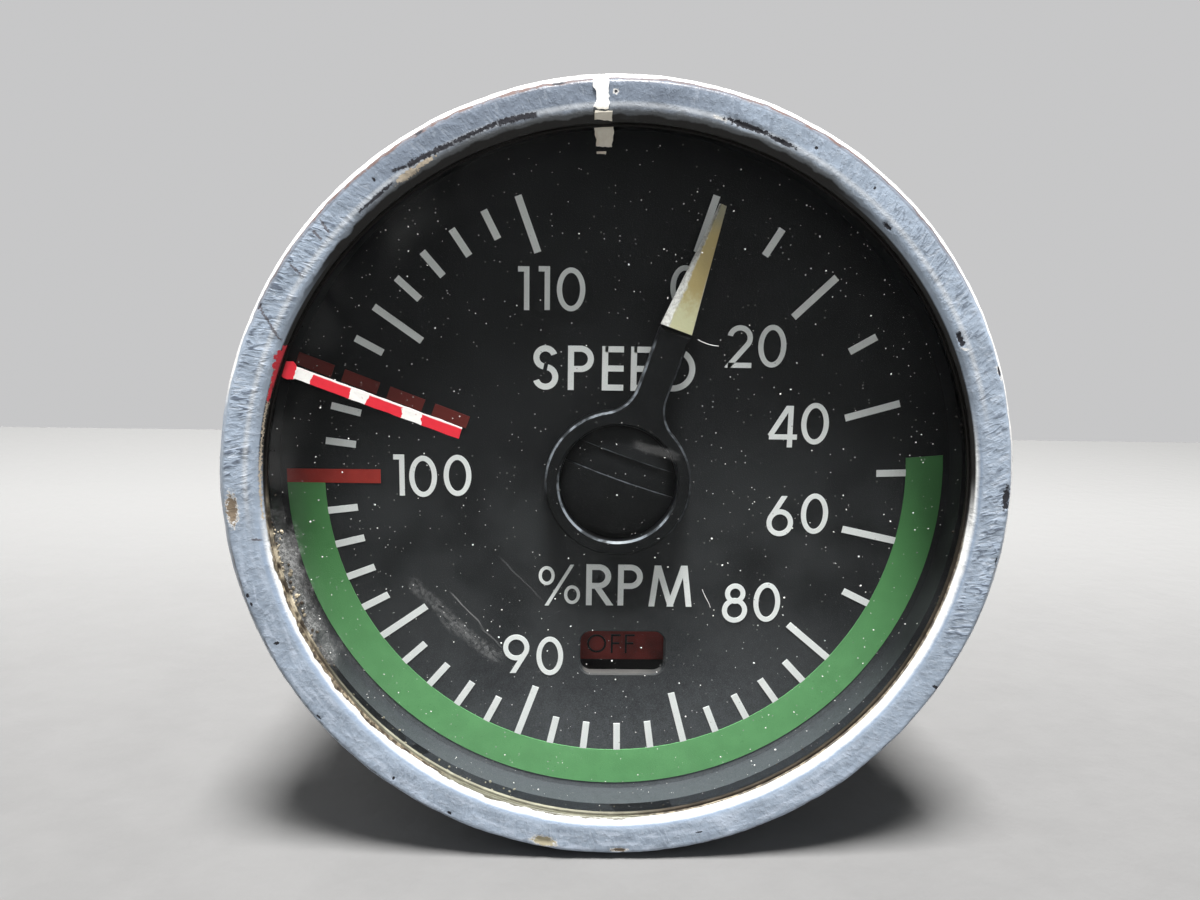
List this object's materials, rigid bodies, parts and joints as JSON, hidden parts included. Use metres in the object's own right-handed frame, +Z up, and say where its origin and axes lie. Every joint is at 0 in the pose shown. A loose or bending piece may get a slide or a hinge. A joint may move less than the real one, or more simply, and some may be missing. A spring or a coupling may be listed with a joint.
{
  "type": "aircraft engine core speed indicator",
  "caption": "Round clamp-mounted panel indicator of engine core speed in per cent, with a servo-driven pointer and an OFF flag.",
  "frame": {"origin": "on the instrument's axis, in the plane of the panel face (the rear face of the bezel)", "axes": "the dial faces -Y, the case runs back towards +Y, +Z is up, +X is to the reader's right"},
  "size_m": [0.054, 0.1266, 0.054],
  "materials": {
    "bezel_paint": "worn satin",
    "case_paint": "satin",
    "black_paint": "matt",
    "dial_black": "matt",
    "white_print": "matt",
    "green_print": "matt",
    "red_print": "matt",
    "stripe_paint": "gloss",
    "index_paint": "gloss",
    "ivory_paint": "satin",
    "flag_red": "matt",
    "glass": "clear",
    "sealant": "dull",
    "seal_rubber": "dull",
    "insulator": "dull",
    "board_green": "satin",
    "chip_black": "matt",
    "transformer_wrap": "satin",
    "capacitor_sleeve": "gloss",
    "potentiometer_case": "satin",
    "bare_aluminium": "machined",
    "brass": "machined",
    "bronze": "turned",
    "plated_steel": "plated",
    "motor_can": "satin",
    "connector_plating": "olive plated",
    "gold_pins": "plated"
  },
  "bodies": {
    "housing": {"bezel": "bezel_paint", "glass_seal": "sealant", "front_glass": "glass", "dial_shroud": "black_paint", "dial_plate": "dial_black", "scale_marks": "white_print", "green_band": "green_print", "red_marks": "red_print", "limit_stripe": "stripe_paint", "index_mark": "index_paint", "case": "case_paint", "front_plate": "bare_aluminium", "gear_plate": "bare_aluminium", "plate_pillars": "brass", "pillar_screws": "plated_steel", "front_bearing": "bronze", "rear_bearing": "bronze", "servo_motor": "motor_can", "motor_screws": "plated_steel", "feedback_potentiometer": "potentiometer_case", "potentiometer_screws": "plated_steel", "flag_motor": "motor_can", "front_posts": "plated_steel", "middle_posts": "plated_steel", "rear_posts": "plated_steel", "servo_board": "board_green", "power_board": "board_green", "amplifier_chips": "chip_black", "transistor_cans": "plated_steel", "transformer": "transformer_wrap", "capacitors": "capacitor_sleeve", "rear_cover": "case_paint", "cover_seal": "seal_rubber", "cover_screws": "plated_steel", "connector_gasket": "seal_rubber", "connector_shell": "connector_plating", "connector_insert": "insulator", "connector_pins": "gold_pins", "connector_screws": "plated_steel"},
    "pointer_group": {"pointer": "black_paint", "pointer_tip": "ivory_paint", "hub_cap": "black_paint", "pointer_shaft": "plated_steel", "shaft_clip": "plated_steel", "output_gear": "brass", "feedback_drive_gear": "brass"},
    "idler_group": {"idler_shaft": "plated_steel", "idler_pinion": "plated_steel", "idler_gear": "brass"},
    "motor_rotor": {"motor_shaft": "plated_steel", "motor_pinion": "plated_steel"},
    "potentiometer_rotor": {"potentiometer_shaft": "plated_steel", "potentiometer_gear": "brass"},
    "flag_group": {"off_flag": "flag_red", "flag_shaft": "plated_steel"}
  },
  "joints": [
    {"name": "pointer_turn", "type": "hinge", "parent": "housing", "child": "pointer_group", "pos_m": [0, 0, 0], "axis": [0, 1, 0], "range_deg": [-1.3, 320.7]},
    {"name": "idler_turn", "type": "hinge", "parent": "housing", "child": "idler_group", "pos_m": [-0.01126, 0, 0.0065], "axis": [0, 1, 0], "range_deg": [-1069.5, 4.83]},
    {"name": "motor_turn", "type": "hinge", "parent": "housing", "child": "motor_rotor", "pos_m": [-0.00198, 0, 0.01241], "axis": [0, 1, 0], "range_deg": [-12.06, 2851.17]},
    {"name": "potentiometer_turn", "type": "hinge", "parent": "housing", "child": "potentiometer_rotor", "pos_m": [0.013, 0, 0], "axis": [0, 1, 0], "range_deg": [-321.2, 1.8]},
    {"name": "flag_swing", "type": "hinge", "parent": "housing", "child": "flag_group", "pos_m": [0.0145, 0, -0.01341], "axis": [0, 1, 0], "range_deg": [0, 20]}
  ],
  "couplings": [
    {"joint": "idler_turn", "follows": "pointer_turn", "ratio": -3.3333},
    {"joint": "motor_turn", "follows": "pointer_turn", "ratio": 8.8889},
    {"joint": "potentiometer_turn", "follows": "pointer_turn", "ratio": -1}
  ]
}
